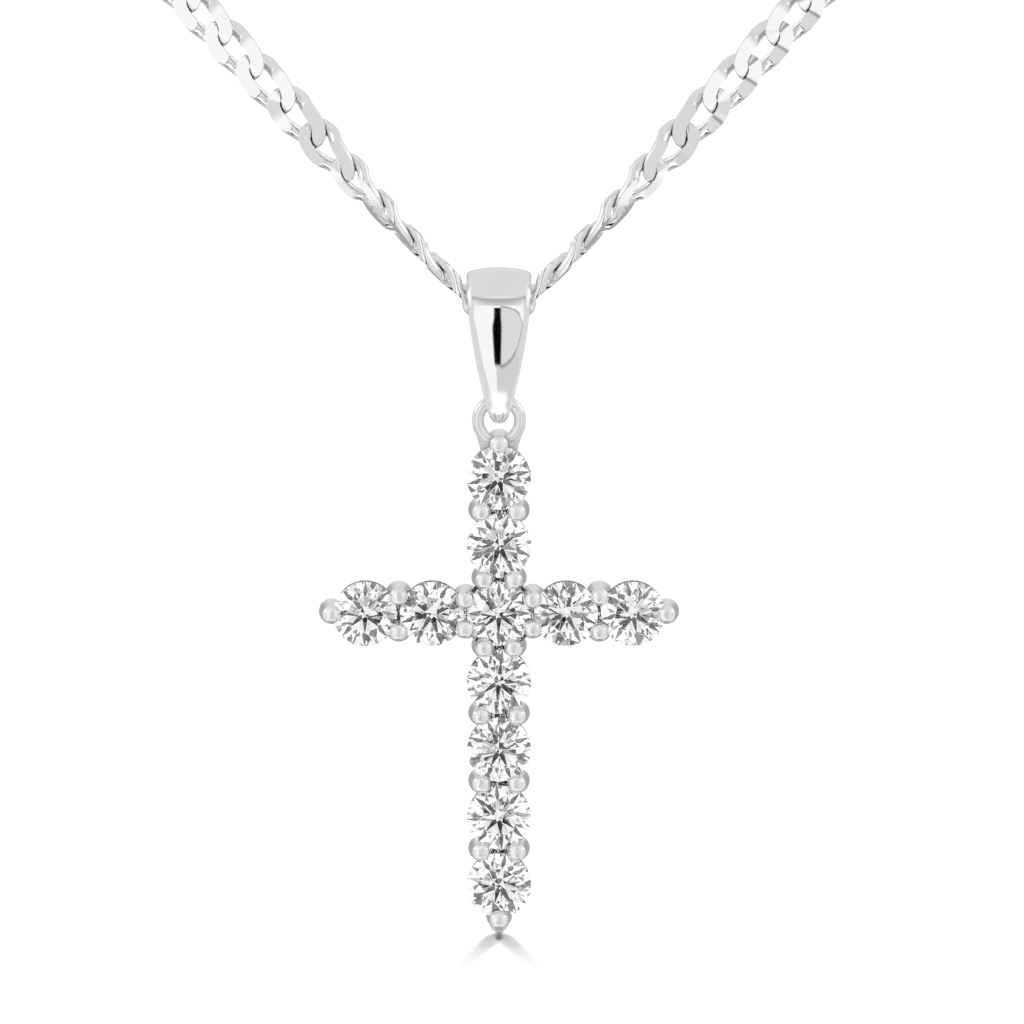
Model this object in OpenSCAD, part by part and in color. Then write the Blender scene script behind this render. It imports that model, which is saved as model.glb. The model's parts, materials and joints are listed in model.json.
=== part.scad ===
// Cross pendant of eleven round brilliants in a shared-prong setting, hung by a
// tapered bail on a flat curb chain that is a whole loop as long as a worn one.
// Millimetres. +Z is up, -Y is the front, and the origin is at the nape of the
// neck, in the middle of the clasp, where the chain hangs.

/* [Stones] */
// Girdle diameter of each round brilliant
stone_d = 2.3; // [2:0.05:2.6]
// Height of the crown above the girdle
crown_h = 0.36; // [0.3:0.01:0.42]
// Thickness of the girdle band
girdle_t = 0.07; // [0.04:0.01:0.1]
// Depth of the pavilion below the girdle
pavilion_h = 0.98; // [0.9:0.01:1.05]
// Width of the table, from corner to corner
table_d = 1.3; // [1.1:0.02:1.5]
// Clearance between a stone and the metal round it
stone_gap = 0.03; // [0.02:0.01:0.05]

/* [Cross] */
// Space between the girdles of neighbours in the upright
upright_space = 0.11; // [0.05:0.01:0.2]
// Space between the girdles of neighbours in the crossbar
crossbar_space = 0.07; // [0.05:0.01:0.2]

/* [Prongs] */
// Diameter of a prong's rounded head
prong_head_d = 0.62; // [0.56:0.02:0.7]
// Diameter of a prong just under its head
prong_neck_d = 0.56; // [0.5:0.02:0.6]
// Diameter of a prong at its foot
prong_foot_d = 0.92; // [0.76:0.02:0.96]
// Distance between the two prongs of a pair
prong_spread = 1.26; // [1.1:0.02:1.36]
// Distance between the two prongs of a pair beside the middle stone
middle_spread = 1.04; // [1:0.02:1.1]
// Height of the middle of a prong's head above the girdle
prong_rise = 0.18; // [0.12:0.02:0.26]

/* [Gallery] */
// How far a seat's rim lies inside the girdle
seat_inset = 0.05; // [0.03:0.01:0.1]
// How far the middle seat's rim stands out past the girdle
middle_rim = 0.13; // [0.08:0.01:0.18]
// Depth of a seat's front face behind the girdle
seat_depth = 0.14; // [0.1:0.01:0.2]
// Thickness of a seat
seat_t = 0.3; // [0.24:0.02:0.36]
// Depth of the setting's back face behind the girdle
setting_depth = 1.25; // [1.15:0.05:1.35]
// Thickness of the rail along the back
rail_t = 0.3; // [0.24:0.02:0.36]
// Diameter of the opening behind each stone
back_hole_d = 1.44; // [1.2:0.04:1.6]
// Width of the tie that joins the two prongs of a pair
tie_w = 0.5; // [0.4:0.02:0.6]

/* [Hanging ring] */
// Diameter of the hole in the ring on top of the cross
ring_hole_d = 1.06; // [1:0.02:1.2]
// Diameter of the ring's wire
ring_wire_d = 0.43; // [0.36:0.01:0.46]
// Height of the ring's middle above the top prong
ring_rise = 0.8; // [0.74:0.02:0.86]
// Depth of the ring's middle behind the girdle
ring_depth = 0.45; // [0.35:0.05:0.6]
// Width of the neck under the ring, where it meets the top seat
neck_w = 1.3; // [1:0.05:1.5]
// Thickness of the neck
neck_t = 0.36; // [0.3:0.02:0.4]

/* [Bail] */
// Distance from the bail's bore down to its tongue
bail_drop = 3.67; // [3.2:0.01:4.4]
// Width of the bail over the chain
bail_w = 2.28; // [2:0.04:2.6]
// Width of the bail just above its tip
bail_tip_w = 1; // [0.8:0.02:1.1]
// Thickness of the bail over the chain
bail_wall = 0.42; // [0.3:0.02:0.5]
// Diameter of the round tongue that the ring hangs on
tongue_d = 0.66; // [0.5:0.02:0.7]
// Play of the chain in the bail's bore
bail_play = 0.45; // [0.35:0.05:0.6]
// Clearance between the bail and the chain
chain_gap = 0.06; // [0.04:0.01:0.12]
// Clearance between the bail's legs and the ring
leg_gap = 0.1; // [0.08:0.01:0.14]
// Clearance between the tongue and the ring
ring_gap = 0.07; // [0.05:0.01:0.1]

/* [Chain] */
// Width of the flat curb chain
chain_w = 1.5; // [1.2:0.05:1.8]
// Thickness of the flat curb chain
chain_t = 0.62; // [0.5:0.02:0.7]

/* [Clasp] */
// Outer diameter of the clasp's ring
clasp_d = 5; // [4.4:0.2:6]
// Diameter of the clasp's wire
clasp_wire_d = 1; // [0.9:0.05:1.2]
// Outer diameter of the eye on each side of the clasp
eye_d = 1.7; // [1.5:0.1:2]
// Diameter of an eye's wire
eye_wire_d = 0.4; // [0.3:0.02:0.5]
// Clearance between an eye and the chain's end
clasp_gap = 0.1; // [0.06:0.02:0.2]

/* [Hidden] */
// Stones: [name, column, row], counted from the middle one
STONES = [
    ["stone_middle", 0, 0], ["stone_top_1", 0, 1], ["stone_top_2", 0, 2],
    ["stone_bottom_1", 0, -1], ["stone_bottom_2", 0, -2],
    ["stone_bottom_3", 0, -3], ["stone_bottom_4", 0, -4],
    ["stone_left_1", -1, 0], ["stone_left_2", -2, 0],
    ["stone_right_1", 1, 0], ["stone_right_2", 2, 0]
];
GOLD = [0.83, 0.83, 0.85];
ICE = [0.88, 0.94, 1];
$fn = 48;

// Right half of the chain's route, from the bail up to near the clasp
ROUTE = [
    [0, -109, -117], [0.7, -109, -116.95], [1.2, -109, -116.6], [2.4, -108.9, -115.4],
    [4.4, -108.6, -113.3], [7, -108, -110.5], [10.5, -107, -106.8], [15, -105.8, -102],
    [22, -103.6, -94.2], [31, -100.5, -84], [41, -96, -72.5], [51, -89.5, -60],
    [59, -79.5, -47], [63.5, -66, -34], [64, -51, -23], [58.5, -34, -13.5],
    [47.5, -19.5, -6.5], [33, -9, -2.5], [17, -2.2, -0.6]
];
// Rings of the tube between one route point and the next
ROUTE_STEPS = 2;
// Cross-section of the tube: [share of half the width, share of half the thickness]
TUBE = [
    [1, 0.4], [1, -0.4], [0.75, -1], [-0.75, -1], [-1, -0.4], [-1, 0.4], [-0.75, 1], [0.75, 1]
];
// Middle of the neck that the chain goes round, seen from above
NECK = [0, -52];
// Length of chain over which its flat side turns from up, at the bail, to outward
TURN_START = 3.5;
TURN_LENGTH = 12;
// Angle at which the chain climbs out of the bail
CLIMB = 45;

// Cross-section of the bail's strip: [share of half the width, share of the thickness,
// angle of the same corner on the round tongue]
STRIP = [
    [-0.86, 0, 250], [0.86, 0, 290], [1, 0.2, 332], [0.93, 0.6, 366], [0.68, 0.83, 396],
    [0.35, 0.96, 424], [0, 1, 450], [-0.35, 0.96, 476], [-0.68, 0.83, 504], [-0.93, 0.6, 534],
    [-1, 0.2, 568]
];
// The strip's sides bow outward by this share of its taper
TAPER_BOW = 0.38;
// Share of the ring's wire that the shoulders of the neck cover
NECK_REACH = 0.85;
// Each stone was set with its facets turned a little from its neighbour's
STONE_TURN = 17;

rows_above = max([for (s = STONES) s[2]]);
rows_below = -min([for (s = STONES) s[2]]);
columns = max([for (s = STONES) s[1]]);
stone_r = stone_d / 2;
pitch_v = stone_d + upright_space;
pitch_h = stone_d + crossbar_space;
ring_hole_r = ring_hole_d / 2;
ring_wire_r = ring_wire_d / 2;
bore_r = chain_w / 2 + bail_play;

hang = ROUTE[0];
// The chain climbs out of the bail, and touches the bore first where the flat of the
// strip ends, with the corners of its own cross-section
touch_x = bail_w / 2 * STRIP[1][0];
touch_y = chain_w / 2 * TUBE[2][0];
touch_z = lookup(touch_x, [for (p = ROUTE) [p[0], p[2]]]) + chain_t / 2 / cos(CLIMB);
bore_z = touch_z + chain_gap - sqrt(pow(bore_r, 2) - pow(touch_y, 2));
tongue_z = bore_z - bail_drop;
ring_z = tongue_z - (ring_hole_r - tongue_d / 2 - ring_gap);
top_prong_z = ring_z - ring_rise;
cross_z = top_prong_z - pitch_v * (rows_above + 0.5);
cross_y = hang[1] - ring_depth;
clasp_end = clasp_d / 2 - clasp_wire_d / 2 + eye_d - eye_wire_d / 2;

function unit(v) = v / norm(v);
function mix(a, b, s) = a + (b - a) * s;
function clamp01(s) = min(1, max(0, s));
function smooth(s) = let (c = clamp01(s)) c * c * (3 - 2 * c);

// Triangles between rings of points, with flat ends unless the loop is closed
function loft_faces(rings, sides, closed) = concat(
    [
        for (i = [0:rings - (closed ? 1 : 2)], j = [0:sides - 1])
            let (
                a = i * sides, b = ((i + 1) % rings) * sides, k = (j + 1) % sides
            )
            each [[a + j, b + k, a + k], [a + j, b + j, b + k]]
    ],
    closed ? [] : [
        [for (j = [0:sides - 1]) j],
        [for (j = [sides - 1:-1:0]) (rings - 1) * sides + j]
    ]
);

module loft(rings, closed) {
    polyhedron(
        points = [for (r = rings) each r],
        faces = loft_faces(len(rings), len(rings[0]), closed)
    );
}

// A smooth curve through the points p, with steps between each pair
function curve_at(p, i, s) =
    let (
        n = len(p) - 1,
        a = p[max(i - 1, 0)], b = p[i], c = p[min(i + 1, n)], d = p[min(i + 2, n)]
    )
    0.5 * (2 * b + (c - a) * s + (2 * a - 5 * b + 4 * c - d) * s * s
        + (3 * b - a - 3 * c + d) * s * s * s);
function curve(p, steps) = concat(
    [for (i = [0:len(p) - 2], k = [0:steps - 1]) curve_at(p, i, k / steps)],
    [p[len(p) - 1]]
);
function mirrored(v) = [-v[0], v[1], v[2]];
function lengths(p, i = 1, sum = [0]) =
    i == len(p) ? sum : lengths(p, i + 1, concat(sum, sum[i - 1] + norm(p[i] - p[i - 1])));

right_route = concat(ROUTE, [[clasp_end + clasp_gap, 0, 0]]);
chain_route = curve(
    concat([for (i = [len(right_route) - 1:-1:1]) mirrored(right_route[i])], right_route),
    ROUTE_STEPS
);
chain_length = lengths(chain_route);
middle_length = chain_length[len(chain_length) - 1] / 2;

// One flat ring of the chain's tube: its wide side faces outward from the neck,
// and turns to face up where the chain runs through the bail
function chain_ring(i) =
    let (
        last = len(chain_route) - 1,
        p = chain_route[i],
        along = unit(chain_route[min(i + 1, last)] - chain_route[max(i - 1, 0)]),
        away = unit([p[0] - NECK[0], p[1] - NECK[1], 0]),
        out = unit(away - along * (away * along)),
        side = cross(along, out),
        from_bail = abs(chain_length[i] - middle_length),
        turn = -90 * (1 - smooth((from_bail - TURN_START) / TURN_LENGTH)),
        face = out * cos(turn) + side * sin(turn),
        edge = cross(along, face)
    )
    [for (q = TUBE) p + edge * (chain_w / 2 * q[0]) + face * (chain_t / 2 * q[1])];

module chain() {
    color(GOLD) loft([for (i = [0:len(chain_route) - 1]) chain_ring(i)], false);
}

module wire_ring(outer_d, wire_d) {
    rotate([90, 0, 0]) rotate_extrude() translate([(outer_d - wire_d) / 2, 0]) circle(d = wire_d);
}

// A plain spring ring with an eye on each side, lying flat on the nape
module clasp() {
    eye_x = clasp_end - eye_d / 2;
    color(GOLD) {
        wire_ring(clasp_d, clasp_wire_d);
        for (side = [-1, 1]) translate([side * eye_x, 0, 0]) wire_ring(eye_d, eye_wire_d);
    }
}

// The bail is a strip bent to a drop-shaped loop: over the bore at the top, down
// the front and the back, and round under the ring as the tongue
bail_foot_r = ring_wire_r + leg_gap;
bail_foot_z = tongue_z + tongue_d / 2 + bail_foot_r;
bail_slope = asin((bore_r - bail_foot_r) / (bore_z - bail_foot_z));
BORE_STEPS = 14;
LEG_STEPS = 5;
FOOT_STEPS = 8;

// Stations of the strip's inner side: [y, z, direction outward, share of the foot's bend]
function bail_stations() = concat(
    [
        for (i = [0:BORE_STEPS - 1])
            let (a = mix(-bail_slope, 180 + bail_slope, i / BORE_STEPS))
            [bore_r * cos(a), bore_z + bore_r * sin(a), a, 0]
    ],
    bail_leg(180 + bail_slope, bore_z, bore_r, bail_foot_z, bail_foot_r),
    [
        for (i = [0:FOOT_STEPS - 1])
            let (s = i / FOOT_STEPS, a = mix(180 + bail_slope, 360 - bail_slope, s))
            [bail_foot_r * cos(a), bail_foot_z + bail_foot_r * sin(a), a, sin(180 * s)]
    ],
    bail_leg(-bail_slope, bail_foot_z, bail_foot_r, bore_z, bore_r)
);
function bail_leg(a, z1, r1, z2, r2) = [
    for (i = [0:LEG_STEPS - 1])
        let (s = i / LEG_STEPS, r = mix(r1, r2, s))
        [r * cos(a), mix(z1, z2, s) + r * sin(a), a, 0]
];

function bail_ring(station) =
    let (
        up = clamp01((station[1] - bail_foot_z) / (bore_z + bore_r / 2 - bail_foot_z)),
        half_w = mix(bail_tip_w, bail_w, up + TAPER_BOW * up * (1 - up)) / 2,
        tongue = smooth(station[3])
    )
    [
        for (q = STRIP)
            let (
                across = mix(half_w * q[0], tongue_d / 2 * cos(q[2]), tongue),
                out = mix(bail_wall * q[1], tongue_d / 2 * (1 + sin(q[2])), tongue)
            )
            [
                hang[0] + across,
                hang[1] + station[0] + out * cos(station[2]),
                station[1] + out * sin(station[2])
            ]
    ];

module bail() {
    color(GOLD) loft([for (s = bail_stations()) bail_ring(s)], true);
}

// At a place in the cross, seen from the front, with y counted back from the girdles
module at(x, z) {
    translate([x, cross_y, cross_z + z]) children();
}
module backward() {
    rotate([-90, 0, 0]) children();
}

module prong() {
    backward() {
        translate([0, 0, -prong_rise])
            cylinder(d1 = prong_neck_d, d2 = prong_foot_d, h = prong_rise + setting_depth);
        translate([0, 0, -prong_rise]) sphere(d = prong_head_d);
    }
}

// A pair of prongs between two stones, with ties at the seats and along the back
module prong_pair(spread) {
    for (side = [-1, 1]) translate([side * spread / 2, 0, 0]) prong();
    for (y = [seat_depth, setting_depth - rail_t])
        translate([-spread / 2, y, -tie_w / 2])
            cube([spread, y == seat_depth ? seat_t : rail_t, tie_w]);
}

module basket(rim_r) {
    backward() {
        translate([0, 0, seat_depth]) cylinder(r = rim_r, h = seat_t);
        translate([0, 0, setting_depth - rail_t]) cylinder(r = stone_r - seat_inset, h = rail_t);
    }
}

// The room that a stone takes in the metal, with the opening behind it
module stone_room() {
    half_t = girdle_t / 2 + stone_gap / 2;
    hole_r = back_hole_d / 2;
    cone_r = stone_r + stone_gap;
    hole_y = half_t + pavilion_h * (1 - (hole_r - stone_gap) / stone_r);
    front_y = -girdle_t / 2 - crown_h - stone_gap;
    backward() rotate_extrude() polygon([
        [0, front_y], [table_d / 2 + stone_gap, front_y], [cone_r, -half_t], [cone_r, half_t],
        [hole_r, hole_y], [hole_r, 2 * setting_depth], [0, 2 * setting_depth]
    ]);
}

// The ring that the cross hangs by, and the neck that joins it to the top seat
module hanging_ring() {
    neck_top = ring_rise - ring_wire_r;
    neck_half = ring_hole_r + ring_wire_d * NECK_REACH;
    translate([0, ring_depth, ring_rise]) wire_ring(ring_hole_d + 2 * ring_wire_d, ring_wire_d);
    difference() {
        translate([0, ring_depth + neck_t / 2, 0]) rotate([90, 0, 0])
            linear_extrude(neck_t) polygon([
                [-neck_w / 2, -tie_w / 2], [neck_w / 2, -tie_w / 2],
                [neck_half, neck_top], [-neck_half, neck_top]
            ]);
        translate([0, ring_depth, ring_rise]) rotate([90, 0, 0])
            cylinder(r = ring_hole_r + ring_wire_r / 2, h = 2 * neck_t, center = true);
    }
}

// Prong pairs between stones: [x, z, turn, spread]
function pairs() = concat(
    [for (i = [1:rows_above]) [0, (i - 0.5) * pitch_v, 0, pair_spread(i)]],
    [for (i = [1:rows_below]) [0, (0.5 - i) * pitch_v, 0, pair_spread(i)]],
    [
        for (side = [-1, 1], i = [1:columns])
            [side * (i - 0.5) * pitch_h, 0, 90, pair_spread(i)]
    ]
);
function pair_spread(i) = i == 1 ? middle_spread : prong_spread;

module setting() {
    top = (rows_above + 0.5) * pitch_v;
    bottom = (rows_below + 0.5) * pitch_v;
    side = (columns + 0.5) * pitch_h;
    color(GOLD) difference() {
        union() {
            for (s = STONES)
                at(s[1] * pitch_h, s[2] * pitch_v)
                    basket(s[0] == "stone_middle" ? stone_r + middle_rim : stone_r - seat_inset);
            for (p = pairs()) at(p[0], p[1]) rotate([0, p[2], 0]) prong_pair(p[3]);
            at(0, top) prong();
            at(0, -bottom) prong();
            at(-side, 0) prong();
            at(side, 0) prong();
            at(0, top) hanging_ring();
        }
        for (s = STONES) at(s[1] * pitch_h, s[2] * pitch_v) stone_room();
    }
}

// A round brilliant with its table to the front: 8 stars, 8 kites and 16 upper
// facets on the crown, and 16 lower facets and 8 mains on the pavilion
STAR_REACH = 0.5;
LOWER_REACH = 0.77;
module brilliant(turn) {
    half_t = girdle_t / 2;
    table_r = table_d / 2;
    flat = cos(22.5);
    crown_slope = crown_h / (stone_r - table_r);
    pavilion_slope = pavilion_h / stone_r;
    star_r = mix(table_r * flat, stone_r, STAR_REACH);
    lower_r = stone_r * (1 - LOWER_REACH);
    function ring(n, r, y, first) = [
        for (i = [0:n - 1])
            let (a = first + turn + 360 * i / n)
            [r * cos(a), y, -r * sin(a)]
    ];
    points = concat(
        ring(8, table_r, -half_t - crown_h, 0),
        ring(8, star_r, -half_t - (stone_r - star_r * flat) * crown_slope, 22.5),
        ring(16, stone_r, -half_t, 0),
        ring(16, stone_r, half_t, 0),
        ring(8, lower_r, half_t + (stone_r - lower_r * flat) * pavilion_slope, 22.5),
        [[0, half_t + pavilion_h, 0]]
    );
    star = 8;
    girdle = 16;
    under = 32;
    lower = 48;
    culet = 56;
    faces = concat(
        [[for (i = [0:7]) i]],
        [
            for (i = [0:7])
                let (n = (i + 1) % 8, m = (i + 7) % 8, g = 2 * i, h = (2 * i + 2) % 16)
                each [
                    [i, star + i, n],
                    [i, star + m, girdle + g, star + i],
                    [star + i, girdle + g, girdle + g + 1],
                    [star + i, girdle + g + 1, girdle + h],
                    [lower + i, under + g + 1, under + g],
                    [lower + i, under + h, under + g + 1],
                    [culet, lower + i, under + g, lower + m]
                ]
        ],
        [
            for (i = [0:15])
                let (n = (i + 1) % 16)
                [girdle + i, under + i, under + n, girdle + n]
        ]
    );
    polyhedron(points = points, faces = faces);
}

module stone(i) {
    color(ICE) at(STONES[i][1] * pitch_h, STONES[i][2] * pitch_v) brilliant(STONE_TURN * i);
}

chain();
clasp();
bail();
setting();
for (i = [0:len(STONES) - 1])
    stone(i);
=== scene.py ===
# Looks of a cross pendant of round brilliants on a flat curb chain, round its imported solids
import bpy
import json
import math
import numpy as np
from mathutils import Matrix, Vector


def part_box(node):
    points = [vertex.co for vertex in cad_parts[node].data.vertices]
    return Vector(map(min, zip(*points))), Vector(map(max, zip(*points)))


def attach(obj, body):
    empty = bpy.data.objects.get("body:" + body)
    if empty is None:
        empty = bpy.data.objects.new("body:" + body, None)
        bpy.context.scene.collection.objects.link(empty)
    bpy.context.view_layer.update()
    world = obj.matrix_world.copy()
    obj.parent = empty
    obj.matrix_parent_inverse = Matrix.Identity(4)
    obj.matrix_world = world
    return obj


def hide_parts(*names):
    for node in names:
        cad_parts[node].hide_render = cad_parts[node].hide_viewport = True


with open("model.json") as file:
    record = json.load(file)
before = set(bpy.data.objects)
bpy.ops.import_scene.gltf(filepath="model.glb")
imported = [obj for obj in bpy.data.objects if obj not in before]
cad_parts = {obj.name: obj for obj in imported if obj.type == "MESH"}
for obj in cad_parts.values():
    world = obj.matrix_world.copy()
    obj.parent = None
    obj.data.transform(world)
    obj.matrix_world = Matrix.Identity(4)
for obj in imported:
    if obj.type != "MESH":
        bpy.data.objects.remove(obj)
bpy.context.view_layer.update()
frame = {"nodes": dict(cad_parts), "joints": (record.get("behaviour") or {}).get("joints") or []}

scene = bpy.context.scene
MM = 0.001
JOINTS = {joint["name"]: joint for joint in frame["joints"]}
# Plane of the stones' girdles, in millimetres
GIRDLE_Y = -109.45


# Camera: a long lens from the front, a little above the floor

# Width of the picture at its middle, and that middle
FRAME_SIZE = 36.2 * MM
FRAME_CENTRE = np.array((0.46, GIRDLE_Y, -124.33)) * MM
CAMERA_DISTANCE = 0.45
CAMERA_ELEVATION = 4.0
CAMERA_CLIP = (0.01, 20)


def make_camera():
    camera = bpy.data.objects.new("camera", bpy.data.cameras.new("camera"))
    scene.collection.objects.link(camera)
    angle = math.radians(CAMERA_ELEVATION)
    back = np.array((0, -math.cos(angle), math.sin(angle)))
    camera.location = FRAME_CENTRE + back * CAMERA_DISTANCE
    camera.rotation_euler = (math.radians(90) - angle, 0, 0)
    camera.data.lens = camera.data.sensor_width * CAMERA_DISTANCE / FRAME_SIZE
    camera.data.clip_start, camera.data.clip_end = CAMERA_CLIP
    scene.camera = camera


# Shader helpers


class Graph:
    """Adds nodes to one node tree. An input is a number, a colour or another node's socket."""

    def __init__(self, tree):
        self.tree = tree

    def add(self, kind, inputs=None, **settings):
        node = self.tree.nodes.new(kind)
        for name, value in settings.items():
            setattr(node, name, value)
        for socket, value in (inputs or {}).items():
            self.set(node.inputs[socket], value)
        return node

    def set(self, socket, value):
        if isinstance(value, bpy.types.NodeSocket):
            self.tree.links.new(value, socket)
        else:
            socket.default_value = value

    def math(self, operation, *values):
        return self.add("ShaderNodeMath", dict(enumerate(values)), operation=operation).outputs[0]

    def noise(self, place, scale, detail):
        inputs = {"Vector": place, "Scale": scale, "Detail": detail}
        return self.add("ShaderNodeTexNoise", inputs).outputs["Fac"]

    def mix(self, low, high, share):
        """low where share is 0 and high where it is 1."""
        inputs = {"Value": share, "To Min": low, "To Max": high}
        return self.add("ShaderNodeMapRange", inputs).outputs["Result"]

    def step(self, value, edge, soft):
        """0 where value is below edge and 1 above it, with a soft change between."""
        inputs = {"Value": value, "From Min": edge - soft, "From Max": edge + soft}
        return self.add(
            "ShaderNodeMapRange", inputs, interpolation_type="SMOOTHSTEP"
        ).outputs["Result"]

    def within(self, value, middle, half, soft):
        """1 where value is less than half away from middle, and 0 outside."""
        distance = self.math("ABSOLUTE", self.math("SUBTRACT", value, middle))
        return self.math("SUBTRACT", 1.0, self.step(distance, half, soft))


class Surface(Graph):
    """The graph of a new material, with its shader's inputs and the place on the object."""

    def __init__(self, name):
        self.material = bpy.data.materials.new(name)
        self.material.use_nodes = True
        super().__init__(self.material.node_tree)
        self.shader = self.tree.nodes["Principled BSDF"].inputs
        self.place = self.add("ShaderNodeTexCoord").outputs["Object"]

    def facing(self):
        """How squarely a face looks to the front or the back of its own object, from 0 to 1."""
        normal = self.add("ShaderNodeTexCoord").outputs["Normal"]
        return self.math("ABSOLUTE", self.add("ShaderNodeSeparateXYZ", {0: normal}).outputs["Y"])

    def colour(self, tone):
        """Gives the shader a grey base colour."""
        grey = self.add("ShaderNodeCombineColor", {0: tone, 1: tone, 2: tone}).outputs[0]
        self.set(self.shader["Base Color"], grey)

    def bump(self, height, strength, distance):
        inputs = {"Height": height, "Strength": strength, "Distance": distance}
        self.set(self.shader["Normal"], self.add("ShaderNodeBump", inputs).outputs[0])


# Studio: what the metal and the stones mirror, and the light on the floor, with angles in
# degrees as seen from the object

WHITE = 1.3
# What the metal mirrors is alike on the left and the right. A white window in front, with
# round upper corners, stands between grey walls: [half its width, its top, how square its
# corners are, softness of its edge as a share of its size]
WINDOW = (37.0, 40.0, 2.5, 0.22)
# Walls: [azimuth from the front, half the width, elevation, half the height, softness of the
# edge]
WALLS = [(50, 16, 0, 45, 5), (74, 38, -17, 35, 5)]
WALL_LEVEL = 0.79
# A grey sheet overhead: [angle up from the front and over, half its reach, its softness],
# and across it [half its width, its softness]
OVERHEAD = (107, 63, 3)
OVERHEAD_ACROSS = (48, 20)
OVERHEAD_LEVEL = 0.8
# Cards, each over the ones before it: as the walls, with a card's brightness at its end
CARDS = [
    (0, 37, -8, 44, 4, 1.06),
    (0, 50, 38, 4, 5, 0.45),
    (180, 62, -26, 38, 8, 0.72),
    (180, 30, -26, 38, 6, 0.42),
    (106, 70, -68, 10, 4, 0.6),
    (0, 181, -88, 13, 5, 0.12),
]
# In front there is a tall dark stand, with a grey sheet to the right of it and the right half
# of a round reflector on that. The stand and the sheet: as the walls.
STAND = (-1.6, 3.8, -6, 33.5, 0.8)
STAND_LEVEL = 0.002
SHEET = (23.5, 27, -43, 7, 1.5)
SHEET_LEVEL = 0.72
# The reflector: [azimuth of its straight side, its width, elevation, its reach up, its reach
# down], and the softness of the straight side. The softness of its round edge and [half the
# width of its rim, the rim's softness] are shares of its size.
REFLECTOR = (2.0, 26, -20, 50, 20)
REFLECTOR_SIDE_SOFT = 0.5
REFLECTOR_EDGE_SOFT = 0.02
REFLECTOR_LEVEL = 0.8
RIM = (0.035, 0.025)
RIM_LEVEL = 0.35
# All three stand closer at the foot, so they look wider there, by this share a degree
STAND_SPREAD = 0.02
# What the stones gather is white with small dark clutter: [scale, detail] of its noise, and
# [level of the noise that it is dark below, softness of its edges]
STONE_WHITE = 1.2
CLUTTER = (26.0, 1.0)
CLUTTER_EDGE = (0.44, 0.05)
CLUTTER_LEVEL = 0.08
# They gather the dark shape of the camera and its hood too: its radius, and the softness of
# its edge as a share of that
CAMERA_SHADE = 13.0
SHADE_SOFT = 0.1
SHADE_LEVEL = 0.01
FLOOR_LIGHT = 0.1
BOUNCES = 24


class Studio(Graph):
    """The world's graph, with the angles of a ray's direction."""

    def __init__(self, tree):
        super().__init__(tree)
        self.direction = self.add("ShaderNodeTexCoord").outputs["Generated"]
        axes = self.add("ShaderNodeSeparateXYZ", {0: self.direction}).outputs
        front = self.math("MULTIPLY", axes["Y"], -1.0)
        self.azimuth = self.angle("ARCTAN2", axes["X"], front)
        self.aside = self.math("ABSOLUTE", self.azimuth)
        self.elevation = self.angle("ARCSINE", axes["Z"])
        self.over = self.angle("ARCTAN2", axes["Z"], front)
        self.across = self.math("ABSOLUTE", self.angle("ARCSINE", axes["X"]))

    def angle(self, operation, *values):
        return self.math("DEGREES", self.math(operation, *values))

    def card(self, sideways, middle, half_width, height, half_height, soft):
        """1 on an upright card and 0 beside it."""
        return self.math(
            "MULTIPLY",
            self.within(sideways, middle, half_width, soft),
            self.within(self.elevation, height, half_height, soft),
        )

    def distance(self, sideways, middle, half_width, height, half_up, half_down):
        """Distance from the middle of an oval, where 1 is its edge."""
        x = self.math("DIVIDE", self.math("SUBTRACT", sideways, middle), half_width)
        rise = self.math("SUBTRACT", self.elevation, height)
        up = self.math("DIVIDE", self.math("MAXIMUM", rise, 0.0), half_up)
        down = self.math("DIVIDE", self.math("MINIMUM", rise, 0.0), half_down)
        squares = [self.math("MULTIPLY", v, v) for v in (x, self.math("ADD", up, down))]
        return self.math("SQRT", self.math("ADD", *squares))


def add_walls(studio):
    """White, with the grey walls outside the window."""
    width, top, power, soft = WINDOW
    beside = studio.math("POWER", studio.math("DIVIDE", studio.aside, width), power)
    rise = studio.math("MAXIMUM", studio.elevation, 0.0)
    above = studio.math("POWER", studio.math("DIVIDE", rise, top), power)
    outside = studio.step(studio.math("ADD", beside, above), 1.0, soft)
    walls = studio.math("MAXIMUM", *[studio.card(studio.aside, *wall) for wall in WALLS])
    return studio.mix(WHITE, WALL_LEVEL, studio.math("MULTIPLY", outside, walls))


def add_cards(studio, light):
    """light with the sheet overhead and the cards."""
    overhead = studio.math(
        "MULTIPLY",
        studio.within(studio.over, *OVERHEAD),
        studio.within(studio.across, 0.0, *OVERHEAD_ACROSS),
    )
    light = studio.mix(light, OVERHEAD_LEVEL, overhead)
    for *card, level in CARDS:
        light = studio.mix(light, level, studio.card(studio.aside, *card))
    return light


def add_stand(studio, light):
    """light with the sheet, the reflector and its rim, and the stand."""
    lower = studio.math("MULTIPLY", studio.elevation, -STAND_SPREAD)
    spread = studio.math("ADD", studio.math("MAXIMUM", lower, 0.0), 1.0)
    leaning = studio.math("DIVIDE", studio.azimuth, spread)
    light = studio.mix(light, SHEET_LEVEL, studio.card(leaning, *SHEET))
    right = studio.step(leaning, REFLECTOR[0], REFLECTOR_SIDE_SOFT)
    reach = studio.distance(leaning, *REFLECTOR)
    inside = studio.math("SUBTRACT", 1.0, studio.step(reach, 1.0, REFLECTOR_EDGE_SOFT))
    light = studio.mix(light, REFLECTOR_LEVEL, studio.math("MULTIPLY", right, inside))
    rim = studio.within(reach, 1.0, *RIM)
    light = studio.mix(light, RIM_LEVEL, studio.math("MULTIPLY", right, rim))
    return studio.mix(light, STAND_LEVEL, studio.card(leaning, *STAND))


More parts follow.
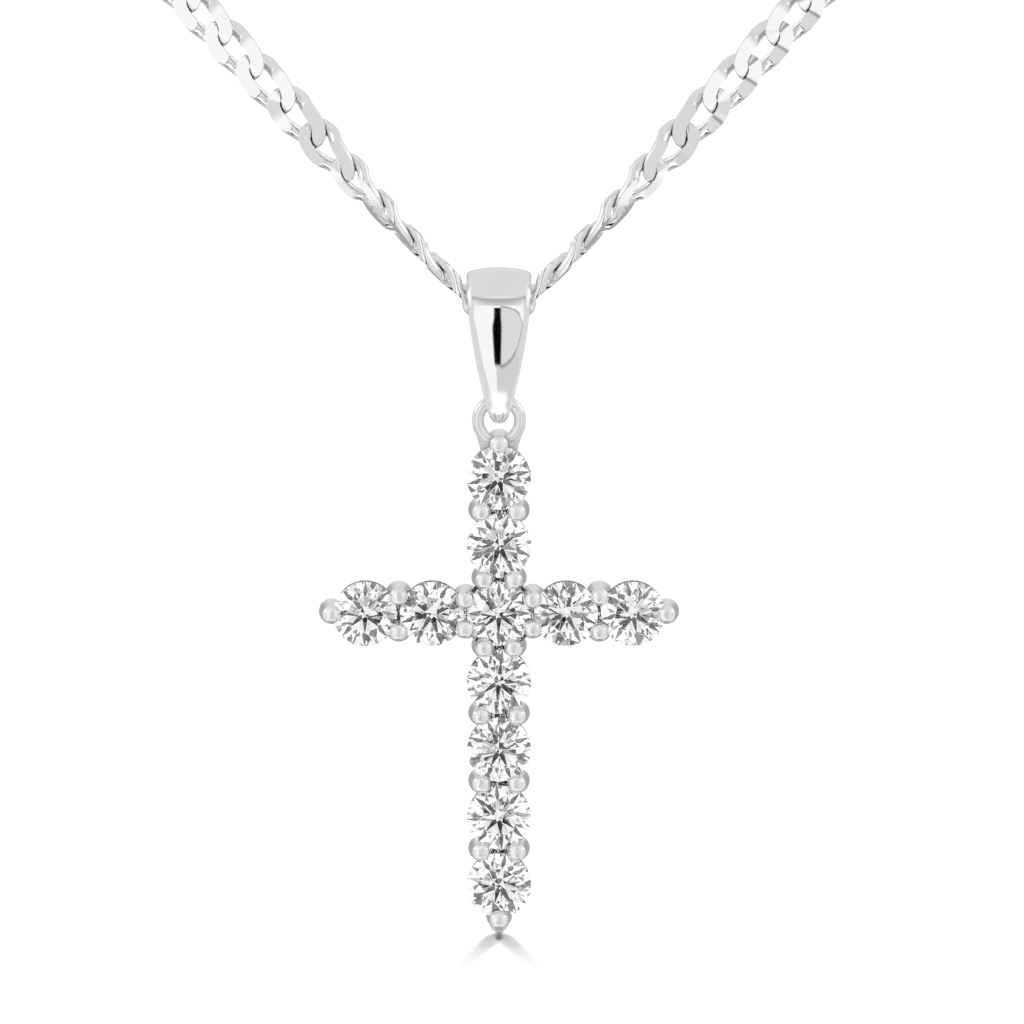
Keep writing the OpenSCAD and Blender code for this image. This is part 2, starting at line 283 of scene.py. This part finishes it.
def stone_light(studio):
    """White with clutter and the camera's dark shape."""
    clutter = studio.noise(studio.direction, *CLUTTER)
    light = studio.mix(CLUTTER_LEVEL, STONE_WHITE, studio.step(clutter, *CLUTTER_EDGE))
    reach = studio.distance(
        studio.azimuth, 0.0, CAMERA_SHADE, CAMERA_ELEVATION, CAMERA_SHADE, CAMERA_SHADE
    )
    return studio.mix(SHADE_LEVEL, light, studio.step(reach, 1.0, SHADE_SOFT))


def make_world():
    """The metal and the stones each gather a set of their own. The camera sees plain white
    behind the object, and the floor gets an even light."""
    world = bpy.data.worlds.new("studio")
    scene.world = world
    world.use_nodes = True
    world.node_tree.nodes.clear()
    studio = Studio(world.node_tree)
    metal_light = add_stand(studio, add_cards(studio, add_walls(studio)))
    path = studio.add("ShaderNodeLightPath").outputs
    light = studio.mix(metal_light, stone_light(studio), path["Is Transmission Ray"])
    light = studio.mix(light, FLOOR_LIGHT, path["Is Diffuse Ray"])
    light = studio.mix(light, 1.0, path["Is Camera Ray"])
    background = studio.add("ShaderNodeBackground", {"Color": (1, 1, 1, 1), "Strength": light})
    studio.add("ShaderNodeOutputWorld", {"Surface": background.outputs[0]})
    world.cycles.sampling_method = "NONE"


def set_view():
    """Plain tones, and enough bounces for light to leave the stones."""
    scene.view_settings.view_transform = "Standard"
    scene.cycles.max_bounces = BOUNCES
    scene.cycles.glossy_bounces = BOUNCES
    scene.cycles.transmission_bounces = BOUNCES


FLOOR_REACH = 2.0
FLOOR_GAP = 0.02 * MM
FLOOR_TONE = 0.8


def make_floor(lowest):
    """A plain pale floor just under the lowest piece."""
    height = min(vertex.co.z for vertex in lowest.data.vertices) - FLOOR_GAP
    sides = [(-1, -1), (1, -1), (1, 1), (-1, 1)]
    corners = [(x * FLOOR_REACH, y * FLOOR_REACH, height) for x, y in sides]
    mesh = bpy.data.meshes.new("floor")
    mesh.from_pydata(corners, [], [(0, 1, 2, 3)])
    floor = bpy.data.objects.new("floor", mesh)
    scene.collection.objects.link(floor)
    material = bpy.data.materials.new("floor_white")
    material.use_nodes = True
    shader = material.node_tree.nodes["Principled BSDF"].inputs
    shader["Base Color"].default_value = (FLOOR_TONE, FLOOR_TONE, FLOOR_TONE, 1)
    shader["Roughness"].default_value = 1.0
    shader["Specular IOR Level"].default_value = 0.0
    mesh.materials.append(material)
    floor.visible_glossy = False
    floor.visible_transmission = False
    return floor


# Materials. Noise has [scale, detail], a roughness and a tone have [least, most], and a bump
# has [strength, distance].

# Painted shade in crevices: where other surfaces lie within this reach, the base colour darkens
# toward this tone
CREVICE_REACH = 0.06 * MM
CREVICE_SHADE_TONE = 0.2
CREVICE_SAMPLES = 8


def painted_crevice_shade(surface, tone):
    """tone, darkened by painted shade where pieces meet and other surfaces are near, read from
    ambient occlusion.
    """
    unshaded_share = surface.add(
        "ShaderNodeAmbientOcclusion", {"Distance": CREVICE_REACH}, samples=CREVICE_SAMPLES
    ).outputs["AO"]
    share = surface.math("MULTIPLY", unshaded_share, unshaded_share)
    return surface.math("MULTIPLY", tone, surface.mix(CREVICE_SHADE_TONE, 1.0, share))


SMEARS = (900.0, 3.0)
SCRATCHES = (9000.0, 2.0)
POLISHED_ROUGHNESS = (0.02, 0.08)
POLISHED_TONE = (0.84, 0.9)
POLISHED_BUMP = (0.02, 1e-5)


def white_gold():
    """Rhodium plated white gold, polished, with the fine unevenness that a polish leaves."""
    surface = Surface("polished_white_gold")
    smears = surface.noise(surface.place, *SMEARS)
    scratches = surface.noise(surface.place, *SCRATCHES)
    surface.set(surface.shader["Metallic"], 1.0)
    surface.set(surface.shader["Roughness"], surface.mix(*POLISHED_ROUGHNESS, smears))
    # The base colour carries painted shade in the crevices
    surface.colour(painted_crevice_shade(surface, surface.mix(*POLISHED_TONE, smears)))
    surface.bump(scratches, *POLISHED_BUMP)
    return surface.material


MARKS = (14000.0, 3.0)
WORN_ROUGHNESS = (0.2, 0.4)
WORN_TONE = (0.88, 1.0)
WORN_BUMP = (0.5, 2e-5)


def worn_gold():
    """The rubbed tops of the prongs, with fine marks in all directions."""
    surface = Surface("worn_white_gold")
    marks = surface.noise(surface.place, *MARKS)
    surface.set(surface.shader["Metallic"], 1.0)
    surface.set(surface.shader["Roughness"], surface.mix(*WORN_ROUGHNESS, marks))
    surface.colour(surface.mix(*WORN_TONE, marks))
    surface.bump(marks, *WORN_BUMP)
    return surface.material


WAVES = (5000.0, 1.0)
CAST_ROUGHNESS = (0.05, 0.15)
CAST_TONE = (0.8, 0.9)
CAST_BUMP = (0.4, 4e-5)
# The neck's satin flats: [how squarely they face, softness of that], and how far the neck
# reaches down behind the top stone's edge, with the softness of its end
SATIN_ROUGHNESS = 0.45
SATIN_FACING = (0.97, 0.02)
NECK_OVERLAP = 0.4 * MM
NECK_SOFT = 0.05 * MM


def cast_gold():
    """The gallery and the seats: polished over the slight waves of a casting. The neck's flat
    sides under the ring stay satin."""
    surface = Surface("cast_white_gold")
    waves = surface.noise(surface.place, *WAVES)
    height = surface.add("ShaderNodeSeparateXYZ", {0: surface.place}).outputs["Z"]
    neck_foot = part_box("stone_top_2")[1].z - NECK_OVERLAP
    on_neck = surface.step(height, neck_foot, NECK_SOFT)
    satin = surface.math("MULTIPLY", surface.step(surface.facing(), *SATIN_FACING), on_neck)
    roughness = surface.mix(surface.mix(*CAST_ROUGHNESS, waves), SATIN_ROUGHNESS, satin)
    surface.set(surface.shader["Metallic"], 1.0)
    surface.set(surface.shader["Roughness"], roughness)
    # The base colour carries painted shade in the crevices
    surface.colour(painted_crevice_shade(surface, surface.mix(*CAST_TONE, waves)))
    surface.bump(waves, *CAST_BUMP)
    return surface.material


HAZE = (1500.0, 2.0)
STONE_TONE = (0.985, 1.0)
STONE_IOR = 2.417
# The frosted girdle: [how squarely its faces look to the front at most, softness of that]
GIRDLE_FACING = (0.1, 0.05)
GIRDLE_TONE = 0.7
GIRDLE_ROUGHNESS = 0.5


def diamond():
    """Clear colourless stone with polished facets and a frosted girdle."""
    surface = Surface("clear_diamond")
    haze = surface.noise(surface.place, *HAZE)
    girdle = surface.math("SUBTRACT", 1.0, surface.step(surface.facing(), *GIRDLE_FACING))
    surface.colour(surface.mix(surface.mix(*STONE_TONE, haze), GIRDLE_TONE, girdle))
    surface.set(surface.shader["Roughness"], surface.mix(0.0, GIRDLE_ROUGHNESS, girdle))
    surface.set(surface.shader["IOR"], STONE_IOR)
    surface.set(surface.shader["Transmission Weight"], 1.0)
    return surface.material


# Mesh helpers


def mix(low, high, share):
    return low + (high - low) * share


def smooth(share):
    share = np.clip(share, 0, 1)
    return share * share * (3 - 2 * share)


def unit(vector):
    return vector / np.linalg.norm(vector)


def make_piece(name, vertices, faces, material, body):
    """A mesh piece in the shared frame, with vertices in millimetres, that rides on a body."""
    mesh = bpy.data.meshes.new(name)
    mesh.from_pydata([tuple(v) for v in np.asarray(vertices) * MM], [], faces)
    mesh.shade_smooth()
    mesh.materials.append(material)
    piece = bpy.data.objects.new(name, mesh)
    scene.collection.objects.link(piece)
    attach(piece, body)
    return piece


def loop_faces(rings, sides, closed):
    """Quads between rings of points, wound outward where each ring turns left about its way."""
    faces = []
    for i in range(rings if closed else rings - 1):
        a, b = i * sides, (i + 1) % rings * sides
        for j in range(sides):
            k = (j + 1) % sides
            faces.append((a + j, a + k, b + k, b + j))
    return faces


# Bail: a strip bent to a drop-shaped loop, broad over the chain and round under the ring

BAIL_WIDTH = 2.28
BAIL_TIP_WIDTH = 1.0
BAIL_WALL = 0.42
# Inner radii of the bend over the chain and of the bend at the foot, and the round tongue's
# thickness there
BAIL_BORE = 1.2
BAIL_FOOT = 0.315
TONGUE = 0.66
# How strongly the taper from the top to the foot bows out
TAPER_BOW = 0.38
# The front and the back swell by this much between the crease under the top and the foot
LEG_BOW = 0.14
CREASE_ANGLE = 17.0
BORE_STEPS = 56
LEG_STEPS = 26
FOOT_STEPS = 28
# Cross-section of the strip: [share of half the width, share of the thickness, angle of the
# same point on the round tongue]
STRIP = [
    (-0.8, 0, 250), (0, 0, 270), (0.8, 0, 290), (0.95, 0.05, 312), (1, 0.22, 332),
    (0.985, 0.45, 350), (0.93, 0.62, 366), (0.82, 0.745, 382), (0.68, 0.834, 396),
    (0.52, 0.903, 410), (0.35, 0.956, 424), (0.18, 0.988, 437), (0, 1, 450),
    (-0.18, 0.988, 463), (-0.35, 0.956, 476), (-0.52, 0.903, 490), (-0.68, 0.834, 504),
    (-0.82, 0.745, 518), (-0.93, 0.62, 534), (-0.985, 0.45, 550), (-1, 0.22, 568),
    (-0.95, 0.05, 588),
]


def bail_stations(drop):
    """Stations of the strip's inner side: [back, up, direction outward, share of the foot's
    bend, swell], in millimetres from the middle of the bore, and the height of the foot."""
    foot_up = -drop + TONGUE / 2 + BAIL_FOOT
    slope = math.degrees(math.asin((BAIL_BORE - BAIL_FOOT) / -foot_up))
    bend_length = math.radians(slope + CREASE_ANGLE) * BAIL_BORE
    leg_length = math.hypot(foot_up, BAIL_BORE - BAIL_FOOT)

    def swell(past_crease):
        share = np.clip(past_crease / (bend_length + leg_length), 0, 1)
        return 4 * share * (1 - share)

    def foot_swell(share):
        """Goes on from the slope with which the swell ends on the legs."""
        bend = math.radians(180 - 2 * slope) * (BAIL_FOOT + BAIL_WALL)
        return -4 / (bend_length + leg_length) * bend / math.pi * math.sin(math.pi * share)

    def place(angle, up, radius, bend, bow):
        turn = math.radians(angle)
        return (radius * math.cos(turn), up + radius * math.sin(turn), angle, bend, bow)

    def bore_place(angle):
        past_crease = math.radians(CREASE_ANGLE - min(angle, 180 - angle)) * BAIL_BORE
        return place(angle, 0, BAIL_BORE, 0, swell(past_crease))

    def foot_place(share):
        angle = mix(180 + slope, 360 - slope, share)
        bend = math.sin(math.pi * share) ** 2
        return place(angle, foot_up, BAIL_FOOT, bend, foot_swell(share))

    def leg(angle, up_1, radius_1, up_2, radius_2):
        places = []
        for s in np.arange(LEG_STEPS) / LEG_STEPS:
            down = s if up_2 < up_1 else 1 - s
            bow = swell(bend_length + leg_length * down)
            places.append(place(angle, mix(up_1, up_2, s), mix(radius_1, radius_2, s), 0, bow))
        return places

    bore_shares = np.arange(BORE_STEPS) / BORE_STEPS
    return (
        [bore_place(mix(-slope, 180 + slope, s)) for s in bore_shares]
        + leg(180 + slope, 0, BAIL_BORE, foot_up, BAIL_FOOT)
        + [foot_place(s) for s in np.arange(FOOT_STEPS) / FOOT_STEPS]
        + leg(-slope, foot_up, BAIL_FOOT, 0, BAIL_BORE)
    ), foot_up


def strip_points(station, foot_up):
    """The strip's cross-section at a station, from the middle of the bore."""
    back, up, angle, bend, bow = station
    height = np.clip((up - foot_up) / (BAIL_BORE / 2 - foot_up), 0, 1)
    width = mix(BAIL_TIP_WIDTH, BAIL_WIDTH, height + TAPER_BOW * height * (1 - height))
    turn = math.radians(angle)
    points = []
    for share, depth, around in STRIP:
        around = math.radians(around)
        across = mix(width / 2 * share, TONGUE / 2 * math.cos(around), bend)
        out = mix(BAIL_WALL * depth, TONGUE / 2 * (1 + math.sin(around)), bend) + LEG_BOW * bow
        points.append((across, back + out * math.cos(turn), up + out * math.sin(turn)))
    return points


def make_bail(material):
    bore = np.array(JOINTS["bail_swing"]["pos_m"]) / MM
    tongue_z = JOINTS["cross_swing"]["pos_m"][2] / MM
    stations, foot_up = bail_stations(bore[2] - tongue_z)
    vertices = [bore + point for station in stations for point in strip_points(station, foot_up)]
    faces = loop_faces(len(stations), len(STRIP), True)
    bail = make_piece("bail_loop", vertices, faces, material, "bail")
    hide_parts("bail")


# Prong heads: low worn domes with a polished rim, over the round ends of the prongs

HEAD_RADIUS = 0.33
HEAD_SIDES = 32
# Profile of a head: [share of the radius, distance in front of the girdles]
HEAD_PROFILE = [
    (0.93, 0.12), (1.0, 0.2), (0.99, 0.29), (0.93, 0.37), (0.82, 0.44), (0.69, 0.485),
    (0.6, 0.5), (0.42, 0.515), (0.22, 0.524),
]
# How far the middle of a head stands out past its profile's last ring
HEAD_TIP = 0.003
# The lowest prong goes on behind its head as a thick foot, this far below it, in radii
FOOT_PROFILE = [(1.0, -0.6), (1.0, -0.12), (0.97, -0.04), (0.9, 0.02)]
FOOT_DROP = 0.5
# A head is worn inside this share of its radius. Each leans by a random slope, and its worn
# top is rough by a random height.
HEAD_WORN = 0.65
HEAD_LEAN = 0.025
HEAD_ROUGH = 0.0015
HEAD_SEED = 7
# Distance between the two prongs of a pair, and of a pair next to the middle stone
PAIR_SPREAD = 1.26
MIDDLE_SPREAD = 1.04
# Stones above, below and to each side of the middle one
STONES_ABOVE = 2
STONES_BELOW = 4
STONES_ASIDE = 2


def stone_place(name):
    low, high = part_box(name)
    return (low + high) / 2 / MM


def pairs(first, last):
    """Pairs of prongs between the stones from first to last, counted from the middle one:
    [pitches from the middle stone, half the spread]."""
    gaps = [i + 0.5 for i in range(first, last)]
    return [(gap, (MIDDLE_SPREAD if abs(gap) < 1 else PAIR_SPREAD) / 2) for gap in gaps]


def prong_places():
    """Places of the prong heads as [x, z], the lowest one last."""
    middle = stone_place("stone_middle")
    pitch_v = middle.z - stone_place("stone_bottom_1").z
    pitch_h = stone_place("stone_right_1").x - middle.x
    places = []
    for gap, spread in pairs(-STONES_ASIDE, STONES_ASIDE):
        x = middle.x + gap * pitch_h
        places += [(x, middle.z - spread), (x, middle.z + spread)]
    for gap, spread in pairs(-STONES_BELOW, STONES_ABOVE):
        z = middle.z + gap * pitch_v
        places += [(middle.x - spread, z), (middle.x + spread, z)]
    aside = (STONES_ASIDE + 0.5) * pitch_h
    above, below = ((stones + 0.5) * pitch_v for stones in (STONES_ABOVE, STONES_BELOW))
    places += [(middle.x - aside, middle.z), (middle.x + aside, middle.z)]
    return places + [(middle.x, middle.z + above), (middle.x, middle.z - below)]


def head_points(x, z, profile, chance):
    """Rings of points of one head from its back to its front, and the middle of its top."""
    turn = np.linspace(0, 2 * np.pi, HEAD_SIDES, endpoint=False)
    lean = chance.normal(0, HEAD_LEAN, 2)
    points = []
    for share, forward, drop in profile:
        ring = HEAD_RADIUS * share
        height = z - HEAD_RADIUS * drop
        rough = chance.normal(0, HEAD_ROUGH, HEAD_SIDES) if share < HEAD_WORN else 0
        tilt = (lean[0] * np.cos(turn) + lean[1] * np.sin(turn)) * ring
        depth = GIRDLE_Y - forward + rough + tilt
        points += zip(x + ring * np.cos(turn), depth, height + ring * np.sin(turn))
    return points + [(x, GIRDLE_Y - profile[-1][1] - HEAD_TIP, z)]


def head_faces(profile):
    """Faces of one head, and whether each is on its worn top."""
    last = (len(profile) - 1) * HEAD_SIDES
    top = last + HEAD_SIDES
    fan = [(last + j, last + (j + 1) % HEAD_SIDES, top) for j in range(HEAD_SIDES)]
    worn = [share < HEAD_WORN for share, _, _ in profile[1:]] + [True]
    return loop_faces(len(profile), HEAD_SIDES, False) + fan, np.repeat(worn, HEAD_SIDES)


def make_heads(name, places, profile, polished, worn):
    """Lathe-turned heads with small random differences in their worn tops. The profile has
    [share of the radius, distance in front of the girdles, drop in radii]."""
    chance = np.random.default_rng(HEAD_SEED)
    vertices = [v for x, z in places for v in head_points(x, z, profile, chance)]
    faces, on_top = head_faces(profile)
    count = len(vertices) // len(places)
    every = [tuple(v + i * count for v in face) for i in range(len(places)) for face in faces]
    piece = make_piece(name, vertices, every, polished, "cross")
    piece.data.materials.append(worn)
    slots = np.tile(on_top, len(places)).astype(int)
    piece.data.polygons.foreach_set("material_index", slots)
    return piece


def make_prongs(polished, worn):
    """The heads of all prongs. The lowest is a piece of its own, and is returned."""
    places = prong_places()
    head = [(*point, 0.0) for point in HEAD_PROFILE]
    foot = [(*point, FOOT_DROP) for point in FOOT_PROFILE]
    make_heads("prong_heads", places[:-1], head, polished, worn)
    return make_heads("prong_lowest", places[-1:], foot + head, polished, worn)


# Chain: flat curb links, in two halves that mirror each other

# Right half of the chain's route, from the bail to the clasp's eye
ROUTE = np.array([
    (0, -109, -117), (0.7, -109, -116.95), (1.2, -109, -116.6), (2.4, -108.9, -115.4),
    (4.4, -108.6, -113.3), (7, -108, -110.5), (10.5, -107, -106.8), (15, -105.8, -102),
    (22, -103.6, -94.2), (31, -100.5, -84), (41, -96, -72.5), (51, -89.5, -60),
    (59, -79.5, -47), (63.5, -66, -34), (64, -51, -23), (58.5, -34, -13.5),
    (47.5, -19.5, -6.5), (33, -9, -2.5), (17, -2.2, -0.6), (3.6, 0, 0),
])
ROUTE_STEPS = 60
# Middle of the neck, which the flats of the links lie on
NECK_Y = -52.0
# A link's turn about the chain from lying flat on the neck. By the bail it stands edge-on, and
# further out it turns to: [turn in degrees, where the change starts along the chain, how long
# it takes]
EDGE_TURN = 84.0
TURNS = [(2.0, 2.5, 9.5), (0.0, 15.0, 20.0)]
# Where the last link's tip ends, beside the clasp
LAST_TIP_X = 2.87
HALF_LINKS = 136
# One link: half the length and width of its middle line, how square its ends are, and the
# points that its middle line is measured with
LINK_REACH = 1.05
LINK_SPAN = 0.5
LINK_POWER = 2.3
LINE_POINTS = 4001
# A direction on the line is taken over this much to both sides, as a share of half the way
# round
LINE_STEP = 0.01
WIRE_WIDTH = 0.5
WIRE_HEIGHT = 0.5
# Height of the flats over the link's middle
LINK_FACE = 0.305
# Height of the wire's middle, from the tip toward the bail along the upper side:
# [share of half the way round, share of the wire's height]. The front and the back are cut
# flat at LINK_FACE. The heights are smoothed at this many points, this many times.
WEAVE = [
    (-0.2, -0.5), (-0.15, -0.46), (-0.1, -0.24), (-0.05, 0.06), (-0.005, 0.36), (0.03, 0.48),
    (0.1, 0.5), (0.34, 0.48), (0.45, 0.34), (0.54, 0.08), (0.62, -0.3), (0.7, -0.5),
    (0.8, -0.5),
]
WEAVE_POINTS = 400
WEAVE_PASSES = 60
# The flats are a little domed: [share at the middle, half its reach, drop at its ends]. Beyond
# its ends the drop grows as far as this many times the reach.
DOME = (0.2, 0.3, 0.045)
DOME_END = 1.3
# Steps along the wire, finer where the flats end: [share of half the way round, steps to it]
WIRE_STEPS = [(-0.2, 0), (0.1, 16), (0.36, 4), (0.6, 6), (0.8, 3)]
# Round the wire: points of an arc between the flats, sides in all, which sides the front and
# the back flat are, and the least width of a flat, as a share of the wire's
ARC_POINTS = 5
WIRE_SIDES = 4 + 2 * ARC_POINTS
FLAT_SIDES = (0, ARC_POINTS + 2)
LEAST_FLAT = 0.03
# The link in the middle is a plain ring, turned between its two neighbours
RING_TURN = -45.0


def curve(points, steps):
    """A smooth curve through points, with its ends clamped."""
    padded = np.vstack([points[:1], points, points[-1:]])
    s = (np.arange(steps) / steps)[:, None]
    parts = []
    for a, b, c, d in zip(padded, padded[1:], padded[2:], padded[3:]):
        parts.append(0.5 * (
            2 * b + (c - a) * s + (2 * a - 5 * b + 4 * c - d) * s ** 2
            + (3 * b - a - 3 * c + d) * s ** 3
        ))
    return np.vstack(parts + [points[-1:]])


def lengths(line):
    """Distance along a line of points, from its start to each point."""
    steps = np.linalg.norm(np.diff(line, axis=0), axis=1)
    return np.concatenate([[0], np.cumsum(steps)])


def left_route():
    """Points of the left half's middle line from the bail outward, with their distances. It
    goes on straight past the clasp's eye, for the last link's end."""
    mirrored = ROUTE * (-1, 1, 1)
    line = curve(np.vstack([ROUTE[:0:-1], mirrored]), ROUTE_STEPS)
    line = line[(len(line) - 1) // 2:]
    line = np.vstack([line, line[-1] + (LINK_REACH * 2, 0, 0)])
    return line, lengths(line)


def link_line(shares):
    """Places and directions on the middle line of a link, at shares of half the way round."""
    turn = np.linspace(0, 2 * np.pi, LINE_POINTS)
    x, y = np.cos(turn), np.sin(turn)
    line = np.stack([
        LINK_REACH * np.sign(x) * np.abs(x) ** (2 / LINK_POWER),
        LINK_SPAN * np.sign(y) * np.abs(y) ** (2 / LINK_POWER),
    ], axis=1)
    length = lengths(line)
    length *= 2 / length[-1]

    def at(share):
        return np.stack([np.interp(share % 2, length, line[:, i]) for i in (0, 1)], axis=1)

    along = at(shares + LINE_STEP) - at(shares - LINE_STEP)
    along /= np.linalg.norm(along, axis=1)[:, None]
    return at(shares), along


def wire_shares():
    """Stations along the whole wire, as shares of half the way round."""
    half = np.concatenate([
        np.linspace(a, b, steps, endpoint=False)
        for (a, _), (b, steps) in zip(WIRE_STEPS, WIRE_STEPS[1:])
    ])
    return np.concatenate([half, half + 1])


def weave(shares):
    """Height of the wire's middle at shares of half the way round."""
    places, heights = np.array(WEAVE).T
    fine = np.linspace(places[0], places[-1], WEAVE_POINTS)
    rise = np.interp(fine, places, heights)
    for _ in range(WEAVE_PASSES):
        rise[1:-1] = (rise[:-2] + 2 * rise[1:-1] + rise[2:]) / 4
    return WIRE_HEIGHT * np.interp((shares - places[0]) % 1 + places[0], fine, rise)


def wire_section(middle, front, back):
    """An oval as [sideways, up], cut flat at the front and the back. The front flat is its
    first side and the back flat is the side after the arc."""
    w, h = WIRE_WIDTH / 2, WIRE_HEIGHT / 2

    def edge(reach):
        """Angle at which the oval is cut, with reach the height of the cut over its middle."""
        return math.acos(max(LEAST_FLAT, math.sqrt(max(0, 1 - min(1, reach / h) ** 2))))

    top, bottom = edge(front - middle), -edge(back + middle)
    arc = [mix(top, bottom, i / (ARC_POINTS + 1)) for i in range(ARC_POINTS + 2)]
    right = [(w * math.cos(a), middle + h * math.sin(a)) for a in arc]
    left = [(-x, up) for x, up in right[::-1]]
    return [left[-1]] + right + left[:-1]


def dome(shares):
    """Height of the flat at shares of half the way round."""
    middle, reach, drop = DOME
    away = (shares - middle + 0.5) % 1 - 0.5
    return LINK_FACE - drop * np.minimum(DOME_END, np.abs(away / reach)) ** 2


def link_vertices(shares, heights):
    """Vertices of a link in its own frame, from the heights of its wire's middle."""
    line, along = link_line(shares)
    outward = np.stack([along[:, 1], -along[:, 0]], axis=1)
    return np.array([
        (*(point + out * side), up)
        for point, out, *cuts in zip(line, outward, heights, dome(shares), dome(-shares))
        for side, up in wire_section(*cuts)
    ])


def link_rims(shares, heights):
    """Whether each vertex of a link is on the rim of a flat."""
    rims = np.zeros((len(heights), WIRE_SIDES), bool)
    cuts = (heights - dome(shares), -heights - dome(-shares))
    for side, rise in zip(FLAT_SIDES, cuts):
        cut = rise + WIRE_HEIGHT / 2 > 0
        rims[:, side] = rims[:, side + 1] = cut
    return rims.ravel()


def turn_at(distance):
    """A link's turn about the chain, in radians, at a distance along it."""
    turn = EDGE_TURN
    for further, start, length in TURNS:
        turn = mix(turn, further, smooth((distance - start) / length))
    return math.radians(float(turn))


def link_frames():
    """Middle and axes of each link of the left half: toward the bail, across, and front."""
    line, distance = left_route()
    reach = distance[-2] - (LAST_TIP_X + LINK_REACH - ROUTE[-1, 0])
    pitch = reach / HALF_LINKS
    at = (np.arange(HALF_LINKS + 1) + 0.5) * pitch
    joints = np.stack([np.interp(at, distance, line[:, i]) for i in range(3)], axis=1)
    frames = []
    for i, (near, far) in enumerate(zip(joints, joints[1:])):
        middle = (near + far) / 2
        along = unit(near - far)
        away = unit(middle * (1, 1, 0) - (0, NECK_Y, 0))
        out = unit(away - along * (away @ along))
        turn = turn_at((i + 1) * pitch)
        front = out * math.cos(turn) + np.cross(along, out) * math.sin(turn)
        frames.append((middle, np.stack([along, np.cross(front, along), front])))
    return frames


def sharpen_rims(mesh, rims):
    """Makes the edges along the rims of the flats sharp."""
    ends = np.zeros(len(mesh.edges) * 2, int)
    mesh.edges.foreach_get("vertices", ends)
    ends = ends.reshape(-1, 2)
    column = ends % WIRE_SIDES
    on_rim = rims[ends].all(axis=1) & (column[:, 0] == column[:, 1])
    sharp = mesh.attributes.new("sharp_edge", "BOOLEAN", "EDGE")
    sharp.data.foreach_set("value", on_rim)


def make_links(name, frames, vertices, rims, mirror, material):
    """Copies of one link as a single piece, mirrored for the right half."""
    count = len(vertices)
    places = np.vstack([middle + vertices @ axes for middle, axes in frames])
    faces = np.array(loop_faces(count // WIRE_SIDES, WIRE_SIDES, True))
    if mirror:
        places = places * (-1, 1, 1)
        faces = faces[:, ::-1]
    every = np.vstack([faces + i * count for i in range(len(frames))])
    piece = make_piece(name, places, every.tolist(), material, "chain")
    sharpen_rims(piece.data, np.tile(rims, len(frames)))
    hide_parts("chain")


def make_chain(material):
    shares = wire_shares()

    def link(heights):
        return link_vertices(shares, heights), link_rims(shares, heights)

    woven = link(weave(shares))
    frames = link_frames()
    half = HALF_LINKS // 2
    for side, mirror in (("left", False), ("right", True)):
        make_links(f"links_{side}_front", frames[:half], *woven, mirror, material)
        make_links(f"links_{side}_back", frames[half:], *woven, mirror, material)
    turn = math.radians(RING_TURN)
    axes = np.array([
        (1, 0, 0), (0, math.cos(turn), math.sin(turn)), (0, -math.sin(turn), math.cos(turn))
    ])
    make_links("link_middle", [(ROUTE[0], axes)], *link(np.zeros(len(shares))), False, material)


# Back suns: their light on the floor is stopped only by the lowest prong

# Turn of each about the upright, and the width of its disc, in degrees
SUN_SIDES = {"left": -6.5, "right": 6.5}
SUN_WIDTH = 3.0
# Height of each over the floor in degrees, and how much of the floor's white it gives
SUN_LEVELS = {3: 0.1, 6: 0.13, 10: 0.16, 20: 0.1}


def make_suns(floor, blocker):
    lit = bpy.data.collections.new("floor_only")
    lit.objects.link(floor)
    blocking = bpy.data.collections.new("lowest_prong")
    blocking.objects.link(blocker)
    for side_name, side in SUN_SIDES.items():
        for height, level in SUN_LEVELS.items():
            light = bpy.data.lights.new(f"sun_{side_name}_{height}", "SUN")
            light.energy = level * math.pi / FLOOR_TONE / math.sin(math.radians(height))
            light.angle = math.radians(SUN_WIDTH)
            sun = bpy.data.objects.new(light.name, light)
            scene.collection.objects.link(sun)
            sun.rotation_euler = (math.radians(height - 90), 0, math.radians(side))
            sun.light_linking.receiver_collection = lit
            sun.light_linking.blocker_collection = blocking


def dress_nodes(gold, cast, clear):
    """The CAD nodes' own materials."""
    for name, node in frame["nodes"].items():
        material = clear if name.startswith("stone") else cast if name == "setting" else gold
        node.material_slots[0].material = material


gold = white_gold()
make_camera()
make_world()
set_view()
lowest_prong = make_prongs(gold, worn_gold())
make_suns(make_floor(lowest_prong), lowest_prong)
make_bail(gold)
make_chain(gold)
dress_nodes(gold, cast_gold(), diamond())
